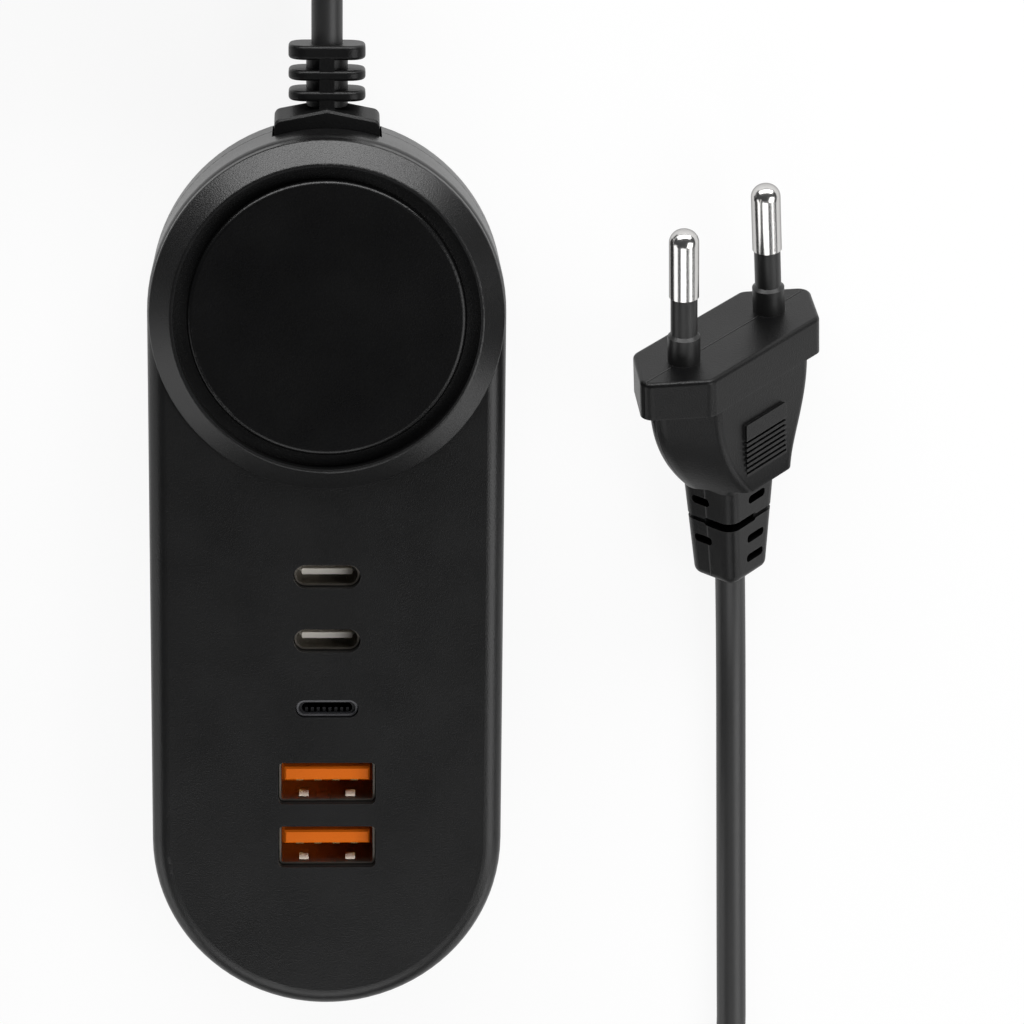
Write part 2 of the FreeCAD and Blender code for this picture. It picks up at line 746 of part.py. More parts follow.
def make_usb_a(place, y):
    half_width = d.usb_a_width / 2
    half_height = d.usb_a_height / 2
    inner_width = half_width - d.shell_sheet
    inner_height = half_height - d.shell_sheet
    shell = new_body(f"usb_a_shell_{place}", 0, y, board_top)
    sheet_metal = Outline(shell, f"usb_a_rim_{place}", "XY_Plane")
    sheet_metal.rectangle(-half_width, -half_height, half_width, half_height, d.usb_a_corner)
    sheet_metal.rectangle(
        -inner_width, -inner_height, inner_width, inner_height, d.usb_a_corner - d.shell_sheet
    )
    pad(shell, f"usb_a_tube_{place}", sheet_metal, d.port_length)
    tab_side = d.usb_a_tab_pitch / 2 - d.usb_a_tab_width / 2
    tab = Outline(shell, f"usb_a_tab_outline_{place}", "YZ_Plane", tab_side)
    tab_top = d.port_length - d.usb_a_tab_set
    tab_crest = d.usb_a_tab_reach - inner_height
    tab.polygon([
        (-inner_height, tab_top),
        (-inner_height, tab_top - d.usb_a_tab_length),
        (tab_crest, tab_top - d.usb_a_tab_lead_in - d.usb_a_tab_crest),
        (tab_crest, tab_top - d.usb_a_tab_lead_in),
    ])
    spring = pad(shell, f"usb_a_tab_{place}", tab, d.usb_a_tab_width)
    mirrored(shell, f"usb_a_tabs_{place}", [spring], "YZ_Plane")

    tongue = new_body(f"usb_a_tongue_{place}", 0, y, board_top)
    base = Outline(tongue, f"usb_a_base_outline_{place}", "XY_Plane")
    base.rectangle(-inner_width, -inner_height, inner_width, inner_height, d.usb_a_corner - d.shell_sheet)
    pad(tongue, f"usb_a_base_{place}", base, d.usb_a_base_height)
    high = inner_height - d.usb_a_tongue_gap
    low = high - d.usb_a_tongue_thick
    reach = d.usb_a_tongue_width / 2
    plate = Outline(tongue, f"usb_a_plate_outline_{place}", "XY_Plane", d.usb_a_base_height)
    plate.rectangle(-reach, low, reach, high)
    plate_top = d.port_length - d.usb_a_tongue_recess
    pad(tongue, f"usb_a_plate_{place}", plate, plate_top - d.usb_a_base_height)
    dress(tongue, "Chamfer", f"usb_a_lead_in_{place}", d.shell_sheet, flat_at(plate_top))

    strips = []
    first = -(USB_A_CONTACT_COUNT - 1) / 2
    for i in range(USB_A_CONTACT_COUNT):
        x = (first + i) * d.usb_a_contact_pitch - d.usb_a_contact_width / 2
        strip_corner = (x, y + low - d.usb_a_contact_thick, board_top + d.usb_a_base_height)
        strip_size = (d.usb_a_contact_width, d.usb_a_contact_thick, d.usb_a_contact_length)
        strips.append(block(f"usb_a_contact_{place}_{i + 1}", strip_corner, strip_size))
    return [shell, tongue, group(f"usb_a_contacts_{place}", strips)]


def make_usb_c(place, y):
    radius = d.usb_c_height / 2
    reach = d.usb_c_width / 2 - radius
    inner = radius - d.shell_sheet
    shell = new_body(f"usb_c_shell_{place}", 0, y, board_top)
    tube = Outline(shell, f"usb_c_rim_{place}", "XY_Plane")
    tube.stadium(0, 0, reach, radius)
    tube.stadium(0, 0, reach, inner)
    pad(shell, f"usb_c_tube_{place}", tube, d.port_length)
    tongue = new_body(f"usb_c_tongue_{place}", 0, y, board_top)
    base = Outline(tongue, f"usb_c_base_outline_{place}", "XY_Plane").stadium(0, 0, reach, inner)
    pad(tongue, f"usb_c_base_{place}", base, d.usb_c_base_height)
    half_width = d.usb_c_tongue_width / 2
    half_thick = d.usb_c_tongue_thick / 2
    plate = Outline(tongue, f"usb_c_plate_outline_{place}", "XY_Plane", d.usb_c_base_height)
    plate.rectangle(-half_width, -half_thick, half_width, half_thick, d.usb_c_tongue_round)
    pad(tongue, f"usb_c_plate_{place}", plate, d.port_length - d.usb_c_tongue_recess - d.usb_c_base_height)
    return [shell, tongue]


def make_slim_port():
    radius = d.slim_height / 2
    reach = d.slim_width / 2 - radius
    inner = radius - d.slim_sheet
    shell = new_body("slim_port_shell", 0, d.slim_y, board_top)
    tube = Outline(shell, "slim_rim", "XY_Plane")
    tube.stadium(0, 0, reach, radius)
    tube.stadium(0, 0, reach, inner)
    slim_length = d.face_height - d.slim_recess - board_top
    pad(shell, "slim_tube", tube, slim_length)
    core = new_body("slim_port_core", 0, d.slim_y, board_top)
    core_top = slim_length - d.slim_core_recess
    block_outline = Outline(core, "slim_block_outline", "XY_Plane").stadium(0, 0, reach, inner)
    pad(core, "slim_block", block_outline, core_top)
    slot_radius = d.slim_slot_height / 2
    slot = Outline(core, "slim_slot_outline", "XY_Plane", core_top)
    slot.stadium(0, 0, d.slim_slot_width / 2 - slot_radius, slot_radius)
    pocket(core, "slim_slot", slot, d.slim_slot_depth)
    first = -(SLIM_CONTACT_COUNT - 1) / 2 * d.slim_contact_pitch - d.slim_contact_width / 2
    rib = Outline(core, "slim_contact_outline", "XY_Plane", core_top - d.slim_slot_depth)
    rib_foot = -slot_radius - d.slim_contact_root
    rib.rectangle(first, rib_foot, first + d.slim_contact_width, d.slim_contact_reach - slot_radius)
    contact = pad(core, "slim_contact", rib, d.slim_slot_depth - d.slim_core_recess)
    repeated(core, "slim_contacts", contact, "X_Axis", d.slim_contact_pitch, SLIM_CONTACT_COUNT)
    return [shell, core]


# Collar outline at one height; the end slopes back from the middle plane to the top and bottom faces.
def collar_outline(body, name, lift, slope):
    half = d.boot_width / 2
    outline = Outline(body, name, "XY_Plane", lift)
    side = case_end + d.boot_side_reach - slope
    peak = case_end + d.boot_peak_reach - slope
    return outline.polygon([
        (-half, flange_face),
        (half, flange_face),
        (half, side, d.boot_shoulder_round),
        (0, peak, d.boot_corner),
        (-half, side, d.boot_shoulder_round),
    ])


# Edges round the flat faces of the ribs, but not where those faces meet the core.
def rib_edge(box):
    ribs_begin = (case_end + d.boot_rib_start).value - 1e-4
    middle = d.part_height.value
    farthest = max(abs(box.XMin), abs(box.XMax), abs(box.ZMin - middle), abs(box.ZMax - middle))
    on_rib = box.YMin > ribs_begin and farthest > d.boot_core_radius.value + 1e-4
    return on_rib and box.YMax - box.YMin < 1e-4


def make_boot():
    body = new_body("cord_boot")
    for name, side in (("upper", 1), ("lower", -1)):
        middle = collar_outline(body, f"collar_middle_{name}", d.part_height, as_size(0))
        edge_height = d.part_height + side * (d.boot_height / 2 - d.boot_bevel)
        edge = collar_outline(body, f"collar_edge_{name}", edge_height, d.boot_slope)
        face_height = d.part_height + side * d.boot_height / 2
        face = collar_outline(body, f"collar_face_{name}", face_height, d.boot_slope + d.boot_bevel)
        loft(body, f"collar_{name}", middle, edge, face, ruled=True)
    flange = Outline(body, "flange_outline", "XZ_Plane", -flange_face)
    flange_half = d.boot_flange_width / 2
    flange.rectangle(
        -flange_half,
        d.part_height - d.boot_flange_height / 2,
        flange_half,
        d.part_height + d.boot_flange_height / 2,
        d.boot_corner,
    )
    pad(body, "flange", flange, d.boot_flange_thick)
    core = Outline(body, "core_outline", "XZ_Plane", -case_end).circle(0, d.part_height, d.boot_core_radius)
    pad(body, "core", core, boot_end - case_end, reverse=True)
    half_width = d.boot_rib_width / 2
    half_height = d.boot_rib_height / 2
    for i in range(RIB_COUNT):
        start = case_end + d.boot_rib_start + i * (d.boot_rib_thick + d.boot_rib_gap)
        rib = Outline(body, f"rib_outline_{i + 1}", "XZ_Plane", -start)
        rib.rectangle(
            -half_width,
            d.part_height - half_height,
            half_width,
            d.part_height + half_height,
            d.boot_rib_corner,
        )
        thick = d.boot_end_rib if i == RIB_COUNT - 1 else d.boot_rib_thick
        pad(body, f"rib_{i + 1}", rib, thick, reverse=True)
    dress(body, "Fillet", "rib_edges", d.boot_rib_round, rib_edge)
    spine_half = half_height - d.boot_spine_drop
    spine = Outline(body, "spine_outline", "XY_Plane", d.part_height - spine_half)
    spine.rectangle(
        -d.boot_spine_width / 2, case_end, d.boot_spine_width / 2, boot_end - d.boot_end_rib / 2
    )
    pad(body, "spines", spine, 2 * spine_half)
    return body


# Hexagon with pointed ends and rounded corners, across the plug's axis.
def plug_section(body, name, lift, width, thick, slant, corner):
    a, b = width / 2 + point_trim, thick / 2
    outline = Outline(body, name, "XZ_Plane", lift)
    return outline.polygon([
        (-a, 0, corner),
        (slant - a, -b, corner),
        (a - slant, -b, corner),
        (a, 0, corner),
        (a - slant, b, corner),
        (slant - a, b, corner),
    ])


def guard_section(body, name, lift, width, thick):
    outline = Outline(body, name, "XZ_Plane", lift)
    return outline.rectangle(-width / 2, -thick / 2, width / 2, thick / 2, d.guard_round)


# A piece of the plug: its own x along the row of prongs, y out of the face, z through the thickness.
def set_on_plug(item, x=0.0, turn=0.0):
    spot = f"vector({d.plug_x.text}; {d.plug_face_y.text}; {plug_height.text})"
    lay = f"rotationz({degrees(d.plug_yaw).text}) * rotationx({plug_lift.text}) * rotationy({plug_roll.text})"
    own = f"placement(vector({as_size(x).text}; 0; 0); rotationz({degrees(as_size(turn)).text}))"
    item.setExpression("Placement", f"placement({spot}; {lay}) * {own}")


# Slots in the two broad faces, or round two opposite corners, and notches in the two narrow sides.
# A shallow groove at the level of the corner slots parts the guard into two blocks.
def cut_guard(body, guard_start):
    inner, reach, core, bend = d.guard_slot_inner, d.guard_slot_reach, d.guard_core_radius, d.guard_slot_round
    upper = Outline(body, "upper_slot_outlines", "XY_Plane", core)
    lower = Outline(body, "lower_slot_outlines", "XY_Plane", -core)
    left = Outline(body, "left_notch_outlines", "YZ_Plane", -core)
    right = Outline(body, "right_notch_outlines", "YZ_Plane", core)
    for i, kind in enumerate(GUARD_LEVELS):
        level = d.guard_slot_start + i * d.guard_slot_pitch
        near = -(guard_start + level)
        far = near - d.guard_slot
        low, high = (-d.guard_slot_back, reach) if kind == "face" else (-d.guard_width, inner)
        upper.rectangle(low, far, high, near, bend)
        lower.rectangle(-high, far, -low, near, bend)
        if i in GUARD_SIDE_LEVELS:
            left.rectangle(far, -reach, near, inner, bend)
            right.rectangle(far, -inner, near, reach, bend)
        if kind == "corner":
            left.rectangle(far, -inner, near, d.guard_thick, bend)
            right.rectangle(far, -d.guard_thick, near, inner, bend)
            cut_guard_groove(body, guard_start, level + (d.guard_slot - d.guard_groove) / 2)
    pocket(body, "upper_slots", upper, d.guard_thick, reverse=True)
    pocket(body, "lower_slots", lower, d.guard_thick)
    pocket(body, "left_notches", left, d.guard_width)
    pocket(body, "right_notches", right, d.guard_width, reverse=True)


def cut_guard_groove(body, guard_start, level):
    share = level / d.guard_length
    half_width = (d.guard_width + share * (d.guard_tip_width - d.guard_width)) / 2 - d.guard_groove_depth
    half_thick = (d.guard_thick + share * (d.guard_tip_thick - d.guard_thick)) / 2 - d.guard_groove_depth
    groove = Outline(body, "guard_groove_outline", "XZ_Plane", guard_start + level)
    groove.rectangle(-d.guard_width, -d.guard_thick, d.guard_width, d.guard_thick)
    groove.rectangle(-half_width, -half_thick, half_width, half_thick, d.guard_round - d.guard_groove_depth)
    pocket(body, "guard_groove", groove, d.guard_groove, reverse=True)


def add_grips(body):
    grip_far = d.grip_start + d.grip_length
    grip_top = d.plug_thick / 2 - d.grip_drop
    half = d.grip_width / 2
    grip = Outline(body, "grip_outline", "XY_Plane", -grip_top)
    grip.rectangle(-half, -grip_far, half, -d.grip_start, d.grip_frame / 2)
    pad(body, "grip_pads", grip, 2 * grip_top)
    groove_pitch = (d.grip_length - d.grip_plain - d.grip_frame) / GRIP_GROOVE_COUNT
    for side, name, turn in ((1, "upper", False), (-1, "lower", True)):
        groove = Outline(body, f"groove_outline_{name}", "XY_Plane", side * grip_top)
        far = -grip_far + d.grip_frame
        groove.rectangle(-half, far, half, far + groove_pitch / 2)
        cut = pocket(body, f"grip_groove_{name}", groove, d.grip_groove_depth, reverse=turn)
        repeated(body, f"grip_grooves_{name}", cut, "Y_Axis", groove_pitch, GRIP_GROOVE_COUNT)


def make_plug_moulding():
    body = new_body("plug_moulding")
    set_on_plug(body)
    head = plug_section(body, "head_outline", 0, d.plug_width, d.plug_thick, d.plug_slant, d.plug_corner)
    pad(body, "head", head, d.plug_flange)
    dress(body, "Fillet", "head_edge", d.plug_face_round, lambda box: box.YMin > -1e-4)
    run = d.plug_body_length - d.plug_flange
    sections = []
    for i, share in enumerate(WAIST_STEPS):
        narrowing = share ** 2
        sections.append(plug_section(
            body,
            f"waist_{i}",
            d.plug_flange + share * run,
            d.plug_body_width + narrowing * (d.plug_end_width - d.plug_body_width),
            d.plug_body_thick + share ** FLARE_POWER * (d.plug_end_thick - d.plug_body_thick),
            d.plug_slant + narrowing * (d.plug_end_slant - d.plug_slant),
            d.plug_corner,
        ))
    loft(body, "waist", *sections)
    guard_start = d.plug_body_length + d.plug_shoulder
    shoulder_width = d.plug_end_width - 2 * d.plug_ledge
    shoulder_thick = d.plug_end_thick - 2 * d.plug_ledge
    shoulder_top = guard_section(body, "shoulder_top", d.plug_body_length, shoulder_width, shoulder_thick)
    shoulder_foot = guard_section(body, "shoulder_foot", guard_start, d.guard_width, d.guard_thick)
    loft(body, "shoulder", shoulder_top, shoulder_foot, ruled=True)
    guard_root = guard_section(body, "guard_root", guard_start, d.guard_width, d.guard_thick)
    guard_tip = guard_section(body, "guard_tip", plug_length, d.guard_tip_width, d.guard_tip_thick)
    loft(body, "guard", guard_root, guard_tip, ruled=True)
    end = plug_length.value
    dress(body, "Fillet", "guard_end", d.guard_tip_round, lambda box: box.YMax < 1e-4 - end)
    cut_guard(body, guard_start)
    add_grips(body)
    return body


def make_prong(name, side):
    pin = new_body(f"prong_{name}")
    set_on_plug(pin, side * d.prong_pitch / 2, side * d.prong_tilt)
    section = Outline(pin, f"prong_section_{name}", "XY_Plane")
    section.polygon([
        (0, -d.prong_root),
        (d.prong_stem_radius, -d.prong_root),
        (d.prong_stem_radius, d.sleeve_end),
        (d.prong_radius, d.sleeve_end),
        (d.prong_radius, d.prong_length, d.prong_tip_round),
        (0, d.prong_length),
    ])
    revolve(pin, f"prong_turning_{name}", section)
    sleeve = new_body(f"prong_sleeve_{name}")
    set_on_plug(sleeve, side * d.prong_pitch / 2, side * d.prong_tilt)
    collar_step = d.sleeve_collar_radius - d.sleeve_radius
    skin = Outline(sleeve, f"sleeve_section_{name}", "XY_Plane")
    skin.polygon([
        (d.prong_stem_radius, -d.sleeve_root),
        (d.sleeve_collar_radius, -d.sleeve_root),
        (d.sleeve_collar_radius, d.sleeve_collar_end),
        (d.sleeve_radius, d.sleeve_collar_end + collar_step),
        (d.sleeve_radius, d.sleeve_end),
        (d.prong_stem_radius, d.sleeve_end),
    ])
    revolve(sleeve, f"sleeve_turning_{name}", skin)
    return [pin, sleeve]


# The blind seat that the overmould leaves for one prong and its sleeve.
def make_prong_seat(name, side):
    seat = new_body(f"prong_seat_{name}")
    set_on_plug(seat, side * d.prong_pitch / 2, side * d.prong_tilt)
    section = Outline(seat, f"seat_section_{name}", "XY_Plane")
    section.polygon([
        (0, -d.prong_root),
        (d.prong_stem_radius, -d.prong_root),
        (d.prong_stem_radius, -d.sleeve_root),
        (d.sleeve_collar_radius, -d.sleeve_root),
        (d.sleeve_collar_radius, d.sleeve_root),
        (0, d.sleeve_root),
    ])
    revolve(seat, f"seat_turning_{name}", section)
    return seat


def make_plug(moulding):
    seats = group("prong_seats", [make_prong_seat("left", -1), make_prong_seat("right", 1)])
    plug = doc.addObject("Part::Cut", "plug_body")
    plug.Label = "plug_body"
    plug.Base = moulding
    plug.Tool = seats
    return [plug] + make_prong("left", -1) + make_prong("right", 1)


# Straight runs joined by tangent arcs; each arc takes a fixed share of the shorter run beside it.
def route_wire(label, points):
    edges = []
    tail = points[0]
    for before, corner, after in zip(points, points[1:], points[2:]):
        arrive = (corner - before).normalize()
        leave = (after - corner).normalize()
        turn = arrive.getAngle(leave)
        trim = ARC_SHARE * min((corner - before).Length, (after - corner).Length)
        radius = trim / math.tan(turn / 2)
        print(f"{label} radius {radius:.1f} at {corner.x:.1f}, {corner.y:.1f}, {corner.z:.1f}")
        start = corner - arrive * trim
        end = corner + leave * trim
        inward = (leave - arrive).normalize()
        to_centre = radius / math.cos(turn / 2)
        middle = corner + inward * (to_centre - radius)
        edges.append(Part.LineSegment(tail, start).toShape())
        edges.append(Part.Arc(start, middle, end).toShape())
        tail = end
    edges.append(Part.LineSegment(tail, points[-1]).toShape())
    return Part.Wire(edges)


def make_tube(label, points, radius):
    path = route_wire(label, points)
    ahead = points[1] - points[0]
    ring = Part.Wire(Part.Circle(points[0], ahead, radius).toShape())
    shape = path.makePipeShell([ring], True, False)
    expected = math.pi * radius ** 2 * path.Length
    print(f"{label} length {path.Length:.1f}, volume {shape.Volume:.1f} of {expected:.1f}")
    if abs(shape.Volume - expected) > 0.01 * expected:
        raise RuntimeError(f"{label} is not a full tube")
    tube = doc.addObject("Part::Feature", label)
    tube.Label = label
    tube.Shape = shape
    tube.Placement = Placement()
    return tube


def at(*amounts):
    return Vector(*(as_size(amount).value for amount in amounts))


# The lead slopes down from the guard's tip, along the plug's axis, to the surface that it lies on.
def make_cord(plug_placement):
    boot_lead = make_tube("boot_lead", [
        at(0, boot_end, d.part_height),
        at(0, 79.0, d.part_height),
        at(0, 86.5, second_layer),
        at(0, tube_meets_coil_y, second_layer),
    ], cord_radius.value)
    left_x = coil_x - d.coil_turn_radius
    guard_tip = plug_placement.multVec(at(0, -plug_length, 0))
    away = plug_placement.Rotation.multVec(Vector(0, -1, 0))
    landing = guard_tip + away * ((cord_radius.value - guard_tip.z) / away.z)
    print(f"plug lead lands at {landing.x:.2f}, {landing.y:.2f} and ends at {guard_tip}")
    plug_lead = make_tube("plug_lead", [
        at(left_x, tube_meets_coil_y, first_layer),
        at(left_x, 60, first_layer),
        at(-52.2, 18, cord_radius),
        at(-51.4, -22, cord_radius),
        at(-52.6, -56, cord_radius),
        at(-52.0, -82.9, cord_radius),
        at(-37.4, -97.5, cord_radius),
        at(-10, -98.8, cord_radius),
        at(18, -99.3, cord_radius),
        at(44, -98, cord_radius),
        at(58.7, -83.4, cord_radius),
        at(57.95, -56, cord_radius),
        at(57.3, -30, cord_radius),
        landing,
        guard_tip,
    ], cord_radius.value)
    return [boot_lead, plug_lead]


def make_coil():
    body = new_body("cord_coil", coil_x, d.coil_y, 0)
    section = Outline(body, "coil_section", "XZ_Plane")
    section.rectangle(coil_inner, coil_base, coil_outer, coil_top, cord_radius)
    revolve(body, "coil_ring", section)
    stubs = Outline(body, "stub_outlines", "XZ_Plane", d.coil_stub)
    stubs.circle(d.coil_turn_radius, second_layer, cord_radius)
    stubs.circle(-d.coil_turn_radius, first_layer, cord_radius)
    pad(body, "coil_stubs", stubs, d.coil_stub, reverse=True)

    tie = new_body("cord_tie", coil_x, d.coil_y, 0)
    tie.Placement = Placement(Vector(0, 0, 0), Rotation(Vector(0, 0, 1), SIZES["tie_angle"]))
    bind(tie, "Placement.Rotation.Angle", d.tie_angle)
    strap = Outline(tie, "strap_outline", "XZ_Plane", -d.tie_width / 2)
    inside = coil_inner - d.tie_inner_clear
    outside = coil_outer + d.tie_clear
    thick = d.tie_thick
    low, high = d.tie_thick, coil_top + d.tie_clear
    strap.rectangle(inside, low, outside, high, d.tie_round)
    strap.rectangle(inside - thick, low - thick, outside + thick, high + thick, d.tie_round + thick)
    pad(tie, "strap", strap, d.tie_width)
    return [body, tie]


def make_inner_leads():
    leads = []
    landing = board_end - d.lead_set
    for label, side in (("live_lead", -1), ("neutral_lead", 1)):
        x = side * d.lead_pitch / 2
        start = at(x, flange_face - d.boot_flange_thick, d.part_height)
        bend = d.lead_bend.value
        knee = at(x, landing, d.part_height)
        end = at(x, landing, board_top)
        before = knee + Vector(0, bend, 0)
        after = knee - Vector(0, 0, bend)
        slope = bend * (1 - math.cos(math.pi / 4))
        middle = knee + Vector(0, slope, -slope)
        path = Part.Wire([
            Part.LineSegment(start, before).toShape(),
            Part.Arc(before, middle, after).toShape(),
            Part.LineSegment(after, end).toShape(),
        ])
        ring = Part.Wire(Part.Circle(start, Vector(0, -1, 0), d.lead_radius.value).toShape())
        lead = doc.addObject("Part::Feature", label)
        lead.Label = label
        lead.Shape = path.makePipeShell([ring], True, False)
        lead.Placement = Placement()
        leads.append(lead)
    return leads


def make_transformer():
    core = new_body("transformer_core", d.transformer_x, board_end - d.transformer_set, board_top)
    half_width = d.core_width / 2
    half_leg = d.core_centre_leg / 2
    frame = Outline(core, "core_outline", "XZ_Plane", -d.core_depth / 2)
    frame.rectangle(-half_width, 0, half_width, d.core_height)
    window_top = d.core_height - d.core_yoke
    frame.rectangle(d.core_leg - half_width, d.core_yoke, -half_leg, window_top)
    frame.rectangle(half_leg, d.core_yoke, half_width - d.core_leg, window_top)
    pad(core, "core_stack", frame, d.core_depth)
    winding = new_body("transformer_winding", d.transformer_x, board_end - d.transformer_set, board_top)
    coil = Outline(winding, "winding_outline", "XY_Plane", d.core_yoke)
    clear = d.winding_clear
    x = half_width - d.core_leg - clear
    y = d.core_depth / 2 + d.winding_overhang
    coil.rectangle(-x, -y, x, y, d.core_leg)
    coil.rectangle(
        -half_leg - clear, -d.core_depth / 2 - clear, half_leg + clear, d.core_depth / 2 + clear
    )
    pad(winding, "winding", coil, window_top - d.core_yoke - clear)
    return [core, winding]


# Aluminium can with the crimp above its seal, turned about its own axis.
def can_section(outline, radius, height):
    crimp = d.can_crimp
    return outline.polygon([
        (0, 0),
        (radius, 0, crimp / 2),
        (radius, 2 * crimp),
        (radius - crimp, 3 * crimp),
        (radius, 4 * crimp),
        (radius, height, crimp),
        (0, height),
    ])


def make_capacitors():
    bulk_start = board_end - d.bulk_set - d.bulk_length / 2
    bulk_x = board_side - d.bulk_edge - d.bulk_radius
    bulk = new_body("input_capacitor", bulk_x, bulk_start, board_top + d.bulk_radius)
    can = can_section(Outline(bulk, "bulk_section", "XY_Plane"), d.bulk_radius, d.bulk_length)
    revolve(bulk, "bulk_can", can)
    cans = []
    for i, (side, step) in enumerate(((-1, -0.5), (-1, 0.5), (1, -0.5), (1, 0.5)), start=1):
        x = side * d.filter_across / 2
        y = d.filter_y + step * d.filter_pitch
        can_body = new_body(f"output_can_{i}", x, y, board_top)
        section = Outline(can_body, f"output_can_section_{i}", "XZ_Plane")
        revolve(can_body, f"output_can_turning_{i}", can_section(section, d.filter_radius, d.filter_height))
        cans.append(can_body)
    film = new_body("safety_capacitor", d.film_x, board_end - d.film_set, board_top)
    face = Outline(film, "film_outline", "XY_Plane")
    face.rectangle(-d.film_width / 2, -d.film_depth / 2, d.film_width / 2, d.film_depth / 2, d.can_crimp)
    pad(film, "film_block", face, d.film_height)
    return [bulk, group("output_capacitors", cans), film]


def make_small_parts():
    choke = new_body("noise_choke", d.choke_x, board_end - d.choke_set, board_top)
    ring = Outline(choke, "choke_section", "XZ_Plane")
    ring.rectangle(d.choke_bore, 0, d.choke_radius, d.choke_height, d.choke_round)
    revolve(choke, "choke_ring", ring)
    bridge_x = board_side - d.bridge_edge - d.bridge_width / 2
    bridge_y = board_end - d.bulk_set - d.bulk_length / 2 - d.bridge_gap - d.bridge_depth / 2
    bridge = new_body("bridge_rectifier", bridge_x, bridge_y, board_top)
    body = Outline(bridge, "bridge_outline", "XZ_Plane", -d.bridge_depth / 2)
    half = d.bridge_width / 2
    nick = d.bridge_nick
    body.polygon([
        (-half, 0), (half, 0), (half, d.bridge_height), (nick - half, d.bridge_height),
        (-half, d.bridge_height - nick),
    ])
    pad(bridge, "bridge_block", body, d.bridge_depth)
    fuse = new_body("mains_fuse", 0, board_end - d.fuse_set, board_top + d.fuse_cap_radius)
    tube = Outline(fuse, "fuse_section", "XY_Plane")
    reach = d.fuse_length / 2
    glass = reach - d.fuse_cap
    tube.polygon([
        (0, -reach), (d.fuse_cap_radius, -reach), (d.fuse_cap_radius, -glass), (d.fuse_radius, -glass),
        (d.fuse_radius, glass), (d.fuse_cap_radius, glass), (d.fuse_cap_radius, reach), (0, reach),
    ])
    revolve(fuse, "fuse_tube", tube)
    fuse.Placement = Placement(Vector(0, 0, 0), Rotation(Vector(0, 0, 1), 90))
    chips = []
    for i, side in enumerate((-1, 1), start=1):
        corner = (side * d.chip_across / 2 - d.chip_width / 2, d.chip_y - d.chip_depth / 2, board_top)
        chips.append(block(f"controller_chip_{i}", corner, (d.chip_width, d.chip_depth, d.chip_height)))
    return [choke, bridge, fuse, group("controller_chips", chips)]


nodes = [make_front_shell(), make_rear_shell(), make_round_pad()]
screws = [make_screw(i, x, y) for i, (x, y) in enumerate(SCREW_SPOTS, start=1)]
nodes.append(group("case_screws", screws))
nodes.append(make_board())
nodes += make_usb_c("upper", d.usb_c_upper_y)
nodes += make_usb_c("lower", d.usb_c_lower_y)
nodes += make_slim_port()
nodes += make_usb_a("upper", d.usb_a_upper_y)
nodes += make_usb_a("lower", d.usb_a_lower_y)
nodes += make_transformer()
nodes += make_capacitors()
nodes += make_small_parts()
nodes += make_inner_leads()
nodes.append(make_boot())
plug_moulding = make_plug_moulding()
nodes += make_cord(plug_moulding.Placement)
nodes += make_coil()
nodes += make_plug(plug_moulding)
doc.recompute()

for item in doc.Objects:
    if "Invalid" in item.State or "Error" in item.State:
        raise RuntimeError(f"{item.Label} failed: {item.State}")
for node in nodes:
    if node.Shape.isNull() or not node.Shape.isValid():
        raise RuntimeError(f"{node.Label} has no valid shape")

os.makedirs("parts", exist_ok=True)
for node in nodes:
    node.Shape.exportStep(f"parts/{node.Label}.step")
    print(f"{node.Label}: {len(node.Shape.Solids)} solid, {node.Shape.Volume:.1f} mm3")
print(f"{len(nodes)} nodes")
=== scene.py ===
import json
import math

import bpy
from mathutils import Matrix, Vector


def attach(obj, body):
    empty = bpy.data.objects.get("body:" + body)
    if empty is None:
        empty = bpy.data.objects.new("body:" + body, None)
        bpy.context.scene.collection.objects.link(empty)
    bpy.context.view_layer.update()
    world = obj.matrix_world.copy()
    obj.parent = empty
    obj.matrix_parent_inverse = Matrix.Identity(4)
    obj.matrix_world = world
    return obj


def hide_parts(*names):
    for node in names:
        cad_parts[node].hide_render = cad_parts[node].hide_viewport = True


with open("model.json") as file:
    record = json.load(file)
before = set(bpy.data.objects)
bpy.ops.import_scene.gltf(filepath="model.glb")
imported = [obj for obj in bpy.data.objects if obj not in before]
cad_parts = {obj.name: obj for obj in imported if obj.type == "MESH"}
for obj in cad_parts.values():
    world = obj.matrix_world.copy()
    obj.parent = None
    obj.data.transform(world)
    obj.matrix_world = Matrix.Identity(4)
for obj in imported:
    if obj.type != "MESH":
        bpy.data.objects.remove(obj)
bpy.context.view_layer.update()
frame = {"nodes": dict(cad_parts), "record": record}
nodes = frame["nodes"]
scene = bpy.context.scene
print("frame loaded:", len(nodes), "nodes")

# camera, at the photograph's place and angle
cameraSetup = {
    "place": (0.0, 0.1419, 0.5437),  # metres
    "lookForward": (0.0, -0.2733, -0.9619),
    "lookUp": (0.0, 0.9619, -0.2733),
    "turnRight": 0.04617,  # how far the frame's middle stands from the charger's own axis
    "turnUp": 0.03037,
    "lens": 140.9,
    "sensor": 36.0,
}


def addCamera(setup):
    ahead = Vector(setup["lookForward"]) + Vector((setup["turnRight"], 0, 0))
    ahead = (ahead + setup["turnUp"] * Vector(setup["lookUp"])).normalized()
    # the charger's long axis stays upright in the picture
    up = Vector((0, -ahead.z, ahead.y)).normalized()
    right = ahead.cross(up)
    data = bpy.data.cameras.new("camera")
    data.lens = setup["lens"]
    data.sensor_width = setup["sensor"]
    camera = bpy.data.objects.new("camera", data)
    turn = Matrix((right, up, -ahead)).transposed()
    camera.matrix_world = Matrix.Translation(setup["place"]) @ turn.to_4x4()
    scene.collection.objects.link(camera)
    scene.camera = camera


addCamera(cameraSetup)
scene.view_settings.view_transform = "Standard"
print("camera placed")

